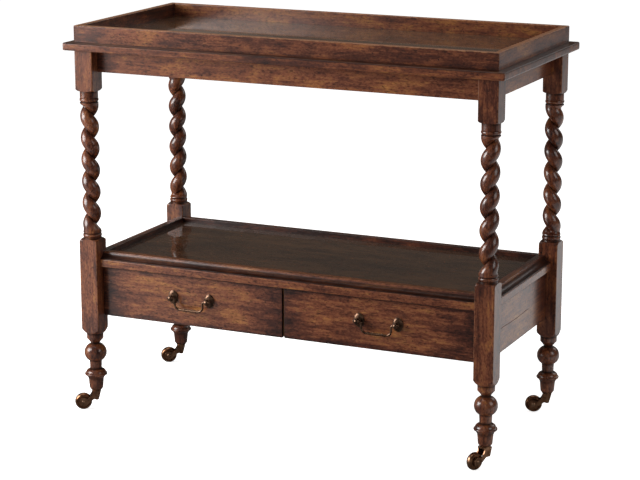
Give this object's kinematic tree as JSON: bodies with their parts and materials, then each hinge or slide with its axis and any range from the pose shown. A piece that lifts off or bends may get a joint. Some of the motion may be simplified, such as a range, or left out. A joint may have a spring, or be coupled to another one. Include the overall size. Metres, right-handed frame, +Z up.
{
  "type": "serving table",
  "caption": "Two-tier wooden serving table with a galleried tray top, barley-twist posts, a lipped shelf over side-by-side drawers with drop pulls, and brass casters.",
  "frame": {"origin": "on the floor under the middle of the table", "axes": "+X along the length to the right, -Y the drawer front, +Z up"},
  "size_m": [1.0077, 0.4815, 0.864],
  "materials": {
    "polished_wood": "dark stained, distressed and polished",
    "drawer_wood": "plain, unpolished",
    "aged_brass": "aged, worn bright on edges",
    "steel": "plain"
  },
  "bodies": {
    "frame": {"post_front_left": "polished_wood", "post_front_right": "polished_wood", "post_back_left": "polished_wood", "post_back_right": "polished_wood", "apron_front": "polished_wood", "apron_right": "polished_wood", "apron_back": "polished_wood", "apron_left": "polished_wood", "top_board": "polished_wood", "gallery_front": "polished_wood", "gallery_right": "polished_wood", "gallery_back": "polished_wood", "gallery_left": "polished_wood", "shelf_board": "polished_wood", "lip_front": "polished_wood", "lip_right": "polished_wood", "lip_back": "polished_wood", "lip_left": "polished_wood", "end_panel_left": "polished_wood", "end_panel_right": "polished_wood", "case_back": "polished_wood", "drawer_rail": "drawer_wood", "drawer_divider": "drawer_wood", "runner_left": "drawer_wood", "runner_centre": "drawer_wood", "runner_right": "drawer_wood", "top_screws": "steel", "caster_plates": "aged_brass", "caster_king_pins": "aged_brass", "caster_screws": "steel"},
    "drawer_left": {"drawer_left_front": "polished_wood", "drawer_left_outer_side": "drawer_wood", "drawer_left_inner_side": "drawer_wood", "drawer_left_back": "drawer_wood", "drawer_left_bottom": "drawer_wood", "pull_studs_left": "aged_brass", "pull_rosettes_left": "aged_brass", "pull_nuts_left": "steel"},
    "bail_left": {"bail_left": "aged_brass"},
    "drawer_right": {"drawer_right_front": "polished_wood", "drawer_right_outer_side": "drawer_wood", "drawer_right_inner_side": "drawer_wood", "drawer_right_back": "drawer_wood", "drawer_right_bottom": "drawer_wood", "pull_studs_right": "aged_brass", "pull_rosettes_right": "aged_brass", "pull_nuts_right": "steel"},
    "bail_right": {"bail_right": "aged_brass"},
    "caster_front_left": {"caster_fork_front_left": "aged_brass", "caster_axle_front_left": "aged_brass"},
    "wheel_front_left": {"caster_wheel_front_left": "aged_brass"},
    "caster_front_right": {"caster_fork_front_right": "aged_brass", "caster_axle_front_right": "aged_brass"},
    "wheel_front_right": {"caster_wheel_front_right": "aged_brass"},
    "caster_back_left": {"caster_fork_back_left": "aged_brass", "caster_axle_back_left": "aged_brass"},
    "wheel_back_left": {"caster_wheel_back_left": "aged_brass"},
    "caster_back_right": {"caster_fork_back_right": "aged_brass", "caster_axle_back_right": "aged_brass"},
    "wheel_back_right": {"caster_wheel_back_right": "aged_brass"}
  },
  "joints": [
    {"name": "drawer_left_slide", "type": "slide", "parent": "frame", "child": "drawer_left", "axis": [0, -1, 0], "range_m": [0, 0.28]},
    {"name": "bail_left_swing", "type": "hinge", "parent": "drawer_left", "child": "bail_left", "pos_m": [-0.22037, -0.208, 0.28], "axis": [-1, 0, 0], "range_deg": [-25, 205]},
    {"name": "drawer_right_slide", "type": "slide", "parent": "frame", "child": "drawer_right", "axis": [0, -1, 0], "range_m": [0, 0.28]},
    {"name": "bail_right_swing", "type": "hinge", "parent": "drawer_right", "child": "bail_right", "pos_m": [0.22037, -0.208, 0.28], "axis": [-1, 0, 0], "range_deg": [-25, 205]},
    {"name": "caster_front_left_swivel", "type": "hinge", "parent": "frame", "child": "caster_front_left", "pos_m": [-0.462, -0.1985, 0.03], "axis": [0, 0, 1], "continuous": true},
    {"name": "wheel_front_left_spin", "type": "hinge", "parent": "caster_front_left", "child": "wheel_front_left", "pos_m": [-0.4872, -0.21364, 0.019], "axis": [0.515, -0.8572, 0], "continuous": true},
    {"name": "caster_front_right_swivel", "type": "hinge", "parent": "frame", "child": "caster_front_right", "pos_m": [0.462, -0.1985, 0.03], "axis": [0, 0, 1], "continuous": true},
    {"name": "wheel_front_right_spin", "type": "hinge", "parent": "caster_front_right", "child": "wheel_front_right", "pos_m": [0.44911, -0.22493, 0.019], "axis": [0.8988, -0.4384, 0], "continuous": true},
    {"name": "caster_back_left_swivel", "type": "hinge", "parent": "frame", "child": "caster_back_left", "pos_m": [-0.462, 0.1985, 0.03], "axis": [0, 0, 1], "continuous": true},
    {"name": "wheel_back_left_spin", "type": "hinge", "parent": "caster_back_left", "child": "wheel_back_left", "pos_m": [-0.48781, 0.18443, 0.019], "axis": [0.4787, -0.878, 0], "continuous": true},
    {"name": "caster_back_right_swivel", "type": "hinge", "parent": "frame", "child": "caster_back_right", "pos_m": [0.462, 0.1985, 0.03], "axis": [0, 0, 1], "continuous": true},
    {"name": "wheel_back_right_spin", "type": "hinge", "parent": "caster_back_right", "child": "wheel_back_right", "pos_m": [0.43398, 0.18961, 0.019], "axis": [0.3024, -0.9532, 0], "continuous": true}
  ]
}
